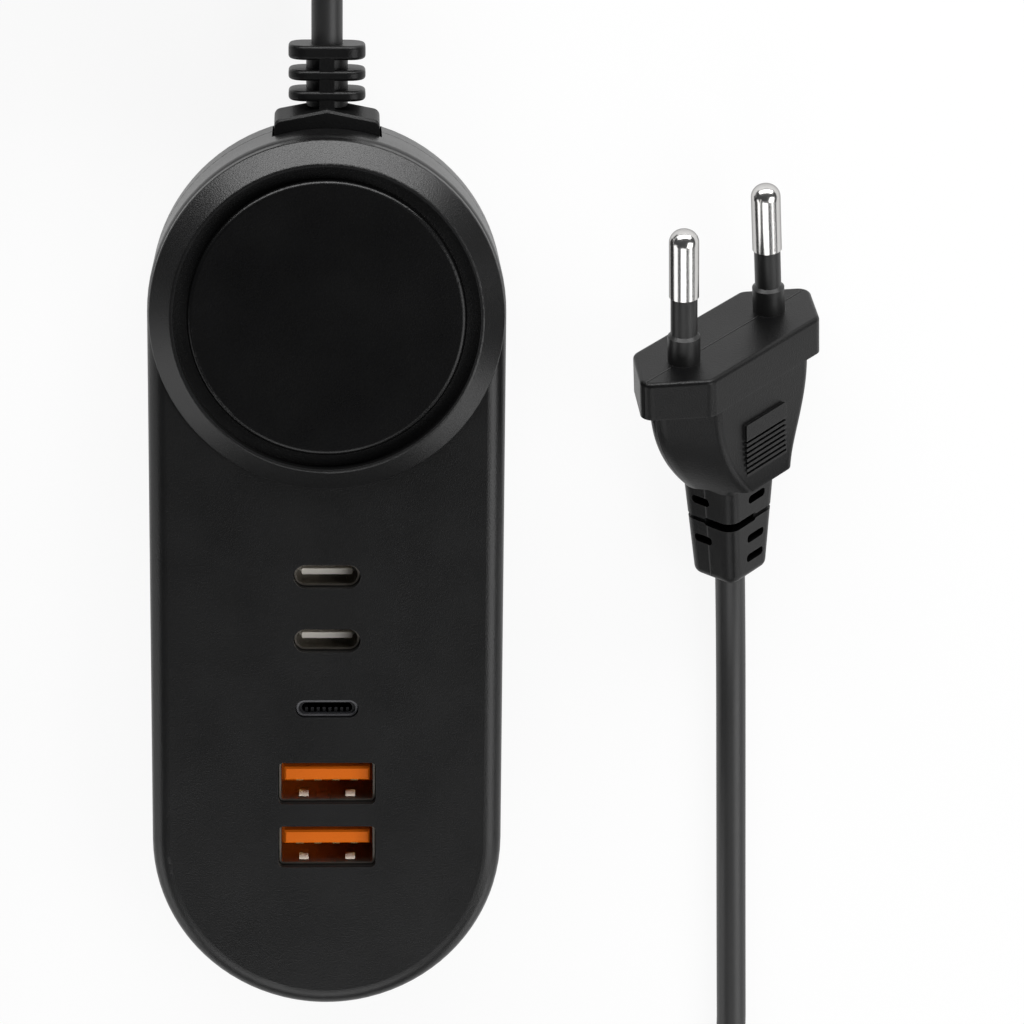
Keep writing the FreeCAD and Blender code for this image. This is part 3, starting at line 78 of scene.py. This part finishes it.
# soft panels, each aimed at the middle of the charger
panelAim = (0.015, 0.02, 0.01)
lightPanels = {
    "backPanel": {"place": (0.0, 0.95, 0.42), "size": (1.8, 0.42), "power": 22.0},
    "keyPanel": {"place": (0.69, -0.16, 0.71), "size": (0.70, 0.70), "power": 4.9},
    "leftPanel": {"place": (-0.72, -0.48, 0.22), "size": (0.65, 0.40), "power": 1.6},
    "rightPanel": {"place": (0.66, -0.58, 0.15), "size": (0.46, 0.26), "power": 1.1},
    "frontPanel": {"place": (-0.07, -0.77, 0.69), "size": (0.70, 0.56), "power": 3.2},
}
worldLight = {"colour": (0.95, 0.97, 1.0, 1), "strength": 0.07}


def addPanel(name, panel):
    data = bpy.data.lights.new(name, "AREA")
    data.shape = "RECTANGLE"
    data.size, data.size_y = panel["size"]
    data.energy = panel["power"]
    lamp = bpy.data.objects.new(name, data)
    lamp.location = panel["place"]
    lamp.rotation_mode = "QUATERNION"
    lamp.rotation_quaternion = (Vector(panelAim) - lamp.location).to_track_quat("-Z", "Y")
    scene.collection.objects.link(lamp)


def lightWorld(light):
    world = bpy.data.worlds.new("studio")
    world.use_nodes = True
    back = world.node_tree.nodes["Background"]
    back.inputs["Color"].default_value = light["colour"]
    back.inputs["Strength"].default_value = light["strength"]
    scene.world = world


for panelName, panel in lightPanels.items():
    addPanel(panelName, panel)
lightWorld(worldLight)
print("lights placed:", len(lightPanels))


# small helpers for node trees
def setInput(tree, node, key, value):
    if isinstance(value, bpy.types.NodeSocket):
        tree.links.new(value, node.inputs[key])
    else:
        node.inputs[key].default_value = value


def addNode(tree, kind, inputs=None, **settings):
    node = tree.nodes.new(kind)
    for key, value in settings.items():
        setattr(node, key, value)
    for key, value in (inputs or {}).items():
        setInput(tree, node, key, value)
    return node


def sums(tree, operation, first, second=0.5, third=0.5, clamp=False):
    inputs = {0: first, 1: second, 2: third}
    node = addNode(tree, "ShaderNodeMath", inputs, operation=operation, use_clamp=clamp)
    return node.outputs[0]


def vectors(tree, operation, first, second):
    node = addNode(tree, "ShaderNodeVectorMath", {0: first, 1: second}, operation=operation)
    return node.outputs["Value" if operation == "DOT_PRODUCT" else "Vector"]


def scaled(tree, vector, amount):
    inputs = {0: vector, "Scale": amount}
    return addNode(tree, "ShaderNodeVectorMath", inputs, operation="SCALE").outputs["Vector"]


def mixColours(tree, factor, first, second):
    inputs = {0: factor, 6: first, 7: second}  # where this node keeps its colours
    return addNode(tree, "ShaderNodeMix", inputs, data_type="RGBA").outputs[2]


def placeOf(tree):
    return addNode(tree, "ShaderNodeTexCoord").outputs["Object"]


def noiseOf(tree, place, scale, detail):
    inputs = {"Vector": place, "Scale": scale, "Detail": detail}
    return addNode(tree, "ShaderNodeTexNoise", inputs).outputs["Fac"]


def newGroup(name, inputs, outputs):
    tree = bpy.data.node_groups.new(name, "ShaderNodeTree")
    for label, kind, value in inputs:
        socket = tree.interface.new_socket(label, in_out="INPUT", socket_type="NodeSocket" + kind)
        socket.default_value = value
    for label, kind in outputs:
        tree.interface.new_socket(label, in_out="OUTPUT", socket_type="NodeSocket" + kind)
    given = tree.nodes.new("NodeGroupInput").outputs
    results = tree.nodes.new("NodeGroupOutput")
    return tree, given, results


def placeGroup(tree, group, inputs):
    return addNode(tree, "ShaderNodeGroup", inputs, node_tree=group).outputs


# effects that several finishes share
noiseMiddle = 0.5  # the value that a noise swings about
grainSetup = {
    "fineDetail": 2.0,
    "pebbleScale": 0.7,  # pebbles to one grain
    "pebbleHeight": 0.6,
    "smudgeScale": 110.0,
    "smudgeDetail": 4.0,
}
highlightSetup = {"samples": 6, "breakScale": 700.0, "breakDetail": 3.0}
lineSetup = {"detail": 3.0, "smudgeScale": 500.0, "smudgeDetail": 3.0}


def makeMouldGrain(setup):
    tree, given, results = newGroup(
        "mouldGrain",
        (("Colour", "Color", (0.02, 0.02, 0.02, 1)), ("Fleck", "Float", 0.2),
         ("Grains", "Float", 3000.0), ("Rough", "Float", 0.5), ("Smear", "Float", 0.1)),
        (("Colour", "Color"), ("Roughness", "Float"), ("Height", "Float")),
    )
    place = placeOf(tree)
    fine = noiseOf(tree, place, given["Grains"], setup["fineDetail"])
    pebbles = sums(tree, "MULTIPLY", given["Grains"], setup["pebbleScale"])
    inputs = {"Vector": place, "Scale": pebbles}
    pebble = addNode(tree, "ShaderNodeTexVoronoi", inputs).outputs["Distance"]
    smudge = noiseOf(tree, place, setup["smudgeScale"], setup["smudgeDetail"])
    fineOff = sums(tree, "SUBTRACT", fine, noiseMiddle)
    smudgeOff = sums(tree, "SUBTRACT", smudge, noiseMiddle)
    shade = sums(tree, "MULTIPLY_ADD", sums(tree, "ADD", fineOff, smudgeOff), given["Fleck"], 1.0)
    rough = sums(tree, "MULTIPLY_ADD", smudgeOff, given["Smear"], given["Rough"])
    rough = sums(tree, "MULTIPLY_ADD", fineOff, given["Smear"], rough, clamp=True)
    height = sums(tree, "MULTIPLY_ADD", pebble, setup["pebbleHeight"], fine)
    setInput(tree, results, "Colour", scaled(tree, given["Colour"], shade))
    setInput(tree, results, "Roughness", rough)
    setInput(tree, results, "Height", height)
    return tree


# paler colour painted on edges that the bevel normal finds: a painted highlight, broken up by
# noise
def makeEdgeHighlight(setup):
    tree, given, results = newGroup(
        "edgeHighlight",
        (("Width", "Float", 0.0004), ("Gain", "Float", 2.0)),
        (("Mask", "Float"),),
    )
    bevel = addNode(tree, "ShaderNodeBevel", {"Radius": given["Width"]}, samples=setup["samples"])
    flat = addNode(tree, "ShaderNodeNewGeometry").outputs["Normal"]
    along = vectors(tree, "DOT_PRODUCT", bevel.outputs["Normal"], flat)
    turn = sums(tree, "SUBTRACT", 1.0, along)
    broken = noiseOf(tree, placeOf(tree), setup["breakScale"], setup["breakDetail"])
    mask = sums(tree, "MULTIPLY", sums(tree, "MULTIPLY", turn, given["Gain"]), broken, clamp=True)
    setInput(tree, results, "Mask", mask)
    return tree


def makeSeamLine():
    tree, given, results = newGroup(
        "seamLine",
        (("Point", "Vector", (0, 0, 0)), ("Across", "Vector", (0, 0, 1)),
         ("HalfWidth", "Float", 0.0001)),
        (("Mask", "Float"),),
    )
    offset = vectors(tree, "SUBTRACT", placeOf(tree), given["Point"])
    away = sums(tree, "ABSOLUTE", vectors(tree, "DOT_PRODUCT", offset, given["Across"]))
    share = sums(tree, "DIVIDE", away, given["HalfWidth"])
    setInput(tree, results, "Mask", sums(tree, "SUBTRACT", 1.0, share, clamp=True))
    return tree


def makeToolLines(setup):
    tree, given, results = newGroup(
        "toolLines",
        (("Along", "Vector", (0, 0, 1)), ("Lines", "Float", 6000.0),
         ("Rough", "Float", 0.2), ("Spread", "Float", 0.1)),
        (("Roughness", "Float"), ("Height", "Float")),
    )
    place = placeOf(tree)
    along = vectors(tree, "DOT_PRODUCT", place, given["Along"])
    step = sums(tree, "MULTIPLY", along, given["Lines"])
    inputs = {"W": step, "Scale": 1.0, "Detail": setup["detail"]}
    lines = addNode(tree, "ShaderNodeTexNoise", inputs, noise_dimensions="1D").outputs["Fac"]
    smudge = noiseOf(tree, place, setup["smudgeScale"], setup["smudgeDetail"])
    both = sums(tree, "SUBTRACT", sums(tree, "ADD", lines, smudge), 2 * noiseMiddle)
    rough = sums(tree, "MULTIPLY_ADD", both, given["Spread"], given["Rough"], clamp=True)
    setInput(tree, results, "Roughness", rough)
    setInput(tree, results, "Height", lines)
    return tree


mouldGrain = makeMouldGrain(grainSetup)
edgeHighlight = makeEdgeHighlight(highlightSetup)
seamLine = makeSeamLine()
toolLines = makeToolLines(lineSetup)
print("shared effects built")

# kinds of finish, where each grain, depth, edge and line is in metres
# in moulded finishes, edgeColour is the colour of the painted edge highlight
plainIor = 1.46
platingGrains = 900.0  # flecks of tint to a metre


def newMaterial(name):
    material = bpy.data.materials.new(name)
    material.use_nodes = True
    tree = material.node_tree
    return material, tree, tree.nodes["Principled BSDF"]


def bumpOf(tree, height, depth, under=None):
    node = addNode(tree, "ShaderNodeBump", {"Height": height, "Strength": 1.0, "Distance": depth})
    if under:
        tree.links.new(under, node.inputs["Normal"])
    return node.outputs["Normal"]


def moulded(name, finish):
    material, tree, shader = newMaterial(name)
    grain = placeGroup(tree, mouldGrain, {
        "Colour": (*finish["colour"], 1),
        "Fleck": finish["fleck"],
        "Grains": 1 / finish["grain"],
        "Rough": finish["rough"],
        "Smear": finish["smear"],
    })
    # edges take edgeColour, a painted highlight
    highlight = placeGroup(tree, edgeHighlight, {"Width": finish["edge"], "Gain": finish["edgeGain"]})
    highlighted = mixColours(tree, highlight["Mask"], grain["Colour"], (*finish["edgeColour"], 1))
    setInput(tree, shader, "Base Color", highlighted)
    setInput(tree, shader, "Roughness", grain["Roughness"])
    setInput(tree, shader, "Normal", bumpOf(tree, grain["Height"], finish["depth"]))
    setInput(tree, shader, "IOR", finish.get("ior", plainIor))
    return material


def plated(name, finish):
    material, tree, shader = newMaterial(name)
    lines = placeGroup(tree, toolLines, {
        "Along": finish["along"],
        "Lines": 1 / finish["lines"],
        "Rough": finish["rough"],
        "Spread": finish["spread"],
    })
    tint = placeGroup(tree, mouldGrain, {
        "Colour": (*finish["colour"], 1),
        "Fleck": finish["fleck"],
        "Grains": platingGrains,
    })
    setInput(tree, shader, "Base Color", tint["Colour"])
    setInput(tree, shader, "Roughness", lines["Roughness"])
    setInput(tree, shader, "Normal", bumpOf(tree, lines["Height"], finish["depth"]))
    setInput(tree, shader, "Metallic", 1.0)
    setInput(tree, shader, "Specular Tint", (*finish.get("rim", (1, 1, 1)), 1))
    return material


def dress(material, slotName, *names):
    for name in names:
        item = nodes[name]
        item.data.materials.clear()
        item.data.materials.append(material)


# case shells, black moulded plastic with a fine spark grain
caseFinish = {
    "colour": (0.0022, 0.0022, 0.0023), "fleck": 0.6, "grain": 0.00016, "depth": 0.000018,
    "rough": 0.36, "smear": 0.10, "ior": 1.44,
    "edge": 0.0003, "edgeGain": 0.7, "edgeColour": (0.04, 0.04, 0.041),
}
dress(moulded("casePlastic", caseFinish), "case_plastic", "front_shell", "rear_shell")

# round pad, darker and smoother than the case
padFinish = {
    "colour": (0.0014, 0.0014, 0.0015), "fleck": 0.6, "grain": 0.00017, "depth": 0.000012,
    "rough": 0.30, "smear": 0.10, "ior": 1.36,
    "edge": 0.0004, "edgeGain": 0.6, "edgeColour": (0.02, 0.02, 0.021),
}
dress(moulded("padPlastic", padFinish), "pad_plastic", "round_pad")

# cord boot and cord jacket, soft black vinyl
bootFinish = {
    "colour": (0.0014, 0.0014, 0.0015), "fleck": 0.5, "grain": 0.00018, "depth": 0.000018,
    "rough": 0.42, "smear": 0.12, "ior": 1.34,
    "edge": 0.0004, "edgeGain": 0.8, "edgeColour": (0.04, 0.04, 0.04),
}
dress(moulded("bootRubber", bootFinish), "boot_rubber", "cord_boot")

jacketFinish = {
    "colour": (0.011, 0.011, 0.0111), "fleck": 0.3, "grain": 0.0004, "depth": 0.000008,
    "rough": 0.45, "smear": 0.10, "ior": 1.54,
    "edge": 0.0002, "edgeGain": 0.2, "edgeColour": (0.03, 0.03, 0.03),
}
jacketMaterial = moulded("cordJacket", jacketFinish)

# plug moulding, with the faint line where its mould halves met
mounts = {mount["name"]: mount for mount in frame["record"]["mounts"]}
prongPlaces = {side: Vector(mounts["prong_" + side]["pos_m"]) for side in ("left", "right")}
prongAxes = {side: Vector(mounts["prong_" + side]["axis"]) for side in ("left", "right")}
plugFinish = {
    "colour": (0.0018, 0.0018, 0.0019), "fleck": 0.7, "grain": 0.00016, "depth": 0.000026,
    "rough": 0.37, "smear": 0.12, "ior": 1.31,
    "edge": 0.0005, "edgeGain": 1.3, "edgeColour": (0.06, 0.06, 0.06),
    "seamHalf": 0.00014, "seamDepth": 0.00010,
}


def addSeam(material, finish):
    tree = material.node_tree
    shader = tree.nodes["Principled BSDF"]
    plugAxis = (prongAxes["left"] + prongAxes["right"]).normalized()
    seam = placeGroup(tree, seamLine, {
        "Point": prongPlaces["left"],
        "Across": plugAxis.cross(prongPlaces["right"] - prongPlaces["left"]).normalized(),
        "HalfWidth": finish["seamHalf"],
    })
    grainNormal = shader.inputs["Normal"].links[0].from_socket
    ridged = bumpOf(tree, seam["Mask"], finish["seamDepth"], grainNormal)
    setInput(tree, shader, "Normal", ridged)
    return material


plugMaterial = addSeam(moulded("plugPlastic", plugFinish), plugFinish)
dress(plugMaterial, "plug_plastic", "plug_body")

sleeveFinish = {
    "colour": (0.008, 0.008, 0.008), "fleck": 0.25, "grain": 0.00025, "depth": 0.000006,
    "rough": 0.42, "smear": 0.10,
    "edge": 0.0002, "edgeGain": 0.5, "edgeColour": (0.05, 0.05, 0.05),
}
sleeveMaterial = moulded("sleevePlastic", sleeveFinish)
dress(sleeveMaterial, "sleeve_plastic", "prong_sleeve_left", "prong_sleeve_right")

# prongs, turned brass under bright nickel
prongFinish = {
    "colour": (0.66, 0.65, 0.64), "fleck": 0.05, "rim": (0.40, 0.40, 0.40),
    "lines": 0.00012, "depth": 0.0000003, "rough": 0.20, "spread": 0.04,
}
for side, axis in prongAxes.items():
    prongMaterial = plated("prongNickel_" + side, {**prongFinish, "along": axis})
    dress(prongMaterial, "prong_metal", "prong_" + side)
print("case, pad, boot and plug finished")

# ports
# port shells are nickel darkened and warmed past its own colour: painted shade and a painted
# orange reflection inside the ports
portMetalFinish = {
    "colour": (0.33, 0.30, 0.26), "fleck": 0.2, "along": (1, 0.3, 0), "lines": 0.00008,
    "rough": 0.32, "spread": 0.15, "depth": 0.000001,
}
portShells = ("usb_c_shell_upper", "usb_c_shell_lower", "usb_a_shell_upper", "usb_a_shell_lower")
dress(plated("portNickelShaded", portMetalFinish), "port_metal", *portShells)
slimRimFinish = {**portMetalFinish, "colour": (0.20, 0.20, 0.21), "rough": 0.46}
dress(plated("slimRimNickel", slimRimFinish), "port_metal", "slim_port_shell")

orangeFinish = {
    "colour": (1.0, 0.20, 0.006), "fleck": 0.12, "grain": 0.0003, "depth": 0.000004,
    "rough": 0.42, "smear": 0.1, "ior": 1.30,
    "edge": 0.0002, "edgeGain": 0.6, "edgeColour": (0.98, 0.30, 0.03),
}
orangeMaterial = moulded("orangeTongue", orangeFinish)
dress(orangeMaterial, "orange_tongue", "usb_a_tongue_upper", "usb_a_tongue_lower")

paleFinish = {
    "colour": (0.96, 0.93, 0.85), "fleck": 0.08, "grain": 0.0003, "depth": 0.000003,
    "rough": 0.40, "smear": 0.1,
    "edge": 0.0001, "edgeGain": 0.4, "edgeColour": (0.85, 0.82, 0.75),
}
paleMaterial = moulded("paleTongue", paleFinish)
dress(paleMaterial, "pale_tongue", "usb_c_tongue_upper", "usb_c_tongue_lower")

slimFinish = {
    "colour": (0.010, 0.010, 0.012), "fleck": 0.2, "grain": 0.0002, "depth": 0.000004,
    "rough": 0.40, "smear": 0.1,
    "edge": 0.0001, "edgeGain": 0.6, "edgeColour": (0.08, 0.08, 0.09),
}
dress(moulded("slimCorePlastic", slimFinish), "slim_core_plastic", "slim_port_core")

goldFinish = {
    "colour": (0.95, 0.70, 0.30), "fleck": 0.1, "along": (0, 0, 1), "lines": 0.00006,
    "rough": 0.22, "spread": 0.1, "depth": 0.0000008,
}
goldMaterial = plated("contactGold", goldFinish)
dress(goldMaterial, "contact_gold", "usb_a_contacts_upper", "usb_a_contacts_lower")
print("ports finished")

# screws on the back
screwFinish = {
    "colour": (0.34, 0.34, 0.35), "fleck": 0.2, "along": (0.8, 0.6, 0), "lines": 0.0001,
    "rough": 0.34, "spread": 0.2, "depth": 0.000003,
}
dress(plated("screwSteel", screwFinish), "screw_steel", "case_screws")

# what sits on the board inside the case: slot, colour, roughness and pieces of each finish
innerFinishes = {
    "boardLaminate": ("board_laminate", (0.012, 0.085, 0.035), 0.28, ("main_board",)),
    "ferrite": ("ferrite", (0.035, 0.034, 0.036), 0.62, ("transformer_core",)),
    "windingTape": ("winding_tape", (0.72, 0.50, 0.08), 0.34, ("transformer_winding",)),
    "canSleeve": ("can_sleeve", (0.018, 0.022, 0.05), 0.30,
                  ("input_capacitor", "output_capacitors")),
    "filmBox": ("film_box", (0.62, 0.47, 0.10), 0.40, ("safety_capacitor",)),
    "chokeCoat": ("choke_coat", (0.05, 0.18, 0.09), 0.42, ("noise_choke",)),
    "chipEpoxy": ("chip_epoxy", (0.020, 0.020, 0.021), 0.55,
                  ("bridge_rectifier", "controller_chips")),
    "fuseCeramic": ("fuse_ceramic", (0.75, 0.72, 0.66), 0.38, ("mains_fuse",)),
    "brownInsulation": ("brown_insulation", (0.16, 0.055, 0.02), 0.40, ("live_lead",)),
    "blueInsulation": ("blue_insulation", (0.02, 0.09, 0.42), 0.40, ("neutral_lead",)),
}
innerGrain = {
    "fleck": 0.3, "grain": 0.0005, "depth": 0.000008, "smear": 0.15,
    "edge": 0.0003, "edgeGain": 0.6,
}
edgeShare, edgeLift = 0.6, 0.12  # a painted edge highlight is a paler form of the part's colour
for finishName, (slotName, colour, rough, held) in innerFinishes.items():
    paler = tuple(edgeShare * part + edgeLift for part in colour)
    innerFinish = {**innerGrain, "colour": colour, "rough": rough, "edgeColour": paler}
    dress(moulded(finishName, innerFinish), slotName, *held)
print("inner parts finished:", len(innerFinishes))

# cord, one smooth line from the boot through the coil to the plug
cordSetup = {
    "diameter": 0.0042,
    "length": 1.53,
    "bootRun": ((0, 0.07186, 0.008), (0, 0.079, 0.008), (0, 0.0865, 0.0073), (0, 0.093, 0.0073)),
    "plugRun": (
        (-0.0512, 0.093, 0.0031), (-0.0512, 0.060, 0.0031), (-0.0522, 0.018, 0.0021),
        (-0.0514, -0.022, 0.0021), (-0.0526, -0.056, 0.0021), (-0.0520, -0.0829, 0.0021),
        (-0.0374, -0.0975, 0.0021), (-0.010, -0.0988, 0.0021), (0.018, -0.0993, 0.0021),
        (0.044, -0.098, 0.0021), (0.0587, -0.0834, 0.0021), (0.05795, -0.056, 0.0021),
        (0.0573, -0.030, 0.0021), (0.05683, -0.01159, 0.0021), (0.056207, -0.001683, 0.004768),
    ),
    "coilCentre": (-0.0256, 0.109),
    "outerTurn": 0.0256,  # radius to the middle of the cord
    "innerTurn": 0.0214,
    "layers": (0.0031, 0.0073, 0.0115, 0.0157),
    # each lap's column and layer, in the order that the cord is wound
    "laps": (
        ("outer", 1), ("outer", 2), ("outer", 3), ("inner", 3),
        ("inner", 2), ("inner", 1), ("inner", 0), ("outer", 0),
    ),
    "lapCount": 7.5,
    "pointsPerLap": 20,
    "stepWide": 90.0,  # degrees of a lap over which the cord moves to its next place
    "stepStarts": (270.0, 270.0, 240.0, 210.0, 210.0, 210.0, 180.0),
    "splineOrder": 3,
    "roundness": 10,
    "smoothness": 8,
}


def coilPoints(setup):
    radius = {"outer": setup["outerTurn"], "inner": setup["innerTurn"]}
    places = [(radius[column], setup["layers"][layer]) for column, layer in setup["laps"]]
    perLap = setup["pointsPerLap"]
    # the smooth line touches the middles of the polygon's sides
    reach = 1 / math.cos(math.pi / perLap)
    points = []
    for i in range(round(setup["lapCount"] * perLap)):
        turned = (i + 0.5) / perLap
        lap = int(turned)
        r, z = places[lap]
        if lap < len(setup["stepStarts"]):
            share = (360 * (turned - lap) - setup["stepStarts"][lap]) / setup["stepWide"]
            eased = 0.5 - 0.5 * math.cos(math.pi * min(max(share, 0.0), 1.0))
            nextR, nextZ = places[lap + 1]
            r += eased * (nextR - r)
            z += eased * (nextZ - z)
        angle = 2 * math.pi * turned
        x = setup["coilCentre"][0] + r * reach * math.cos(angle)
        y = setup["coilCentre"][1] + r * reach * math.sin(angle)
        points.append((x, y, z))
    return points


def layCord(setup):
    route = [*setup["bootRun"], *coilPoints(setup), *setup["plugRun"]]
    data = bpy.data.curves.new("power_cord", "CURVE")
    data.dimensions = "3D"
    data.bevel_depth = setup["diameter"] / 2
    data.bevel_resolution = setup["roundness"]
    data.use_fill_caps = True
    data.twist_mode = "MINIMUM"
    spline = data.splines.new("NURBS")
    spline.points.add(len(route) - 1)
    for point, place in zip(spline.points, route):
        point.co = (*place, 1)
    spline.order_u = setup["splineOrder"]
    spline.use_endpoint_u = True
    spline.resolution_u = setup["smoothness"]
    cord = bpy.data.objects.new("power_cord", data)
    scene.collection.objects.link(cord)
    cord.data.materials.append(jacketMaterial)
    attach(cord, "root")
    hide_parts("boot_lead", "cord_coil", "plug_lead")


layCord(cordSetup)
tieFinish = {
    "colour": (0.012, 0.012, 0.012), "fleck": 0.6, "grain": 0.0007, "depth": 0.00006,
    "rough": 0.75, "smear": 0.2,
    "edge": 0.0003, "edgeGain": 0.6, "edgeColour": (0.05, 0.05, 0.05),
}
dress(moulded("tieFabric", tieFinish), "tie_fabric", "cord_tie")
print("cord laid and tied")

# floor, pale and shadowed, white to the camera
floorSetup = {
    "half": 3.0,
    "drop": 0.00005,
    "colour": (0.82, 0.82, 0.82, 1),
    "rough": 0.9,
    "glow": 0.90,  # share of white that the camera and mirrors see
}


def addFloor(setup):
    half = setup["half"]
    data = bpy.data.meshes.new("floor")
    signs = ((-1, -1), (1, -1), (1, 1), (-1, 1))
    corners = [(x * half, y * half, -setup["drop"]) for x, y in signs]
    data.from_pydata(corners, [], [(0, 1, 2, 3)])
    floor = bpy.data.objects.new("floor", data)
    scene.collection.objects.link(floor)
    material, tree, shader = newMaterial("floorPaper")
    setInput(tree, shader, "Base Color", setup["colour"])
    setInput(tree, shader, "Roughness", setup["rough"])
    rays = addNode(tree, "ShaderNodeLightPath").outputs
    seen = sums(tree, "MAXIMUM", rays["Is Camera Ray"], rays["Is Glossy Ray"])
    seen = sums(tree, "MAXIMUM", seen, rays["Is Transmission Ray"])
    share = sums(tree, "MULTIPLY", seen, setup["glow"])
    glow = addNode(tree, "ShaderNodeEmission", {"Color": (1, 1, 1, 1), "Strength": 1.0})
    inputs = {0: share, 1: shader.outputs["BSDF"], 2: glow.outputs["Emission"]}
    blend = addNode(tree, "ShaderNodeMixShader", inputs)
    setInput(tree, tree.nodes["Material Output"], "Surface", blend.outputs["Shader"])
    data.materials.append(material)


addFloor(floorSetup)
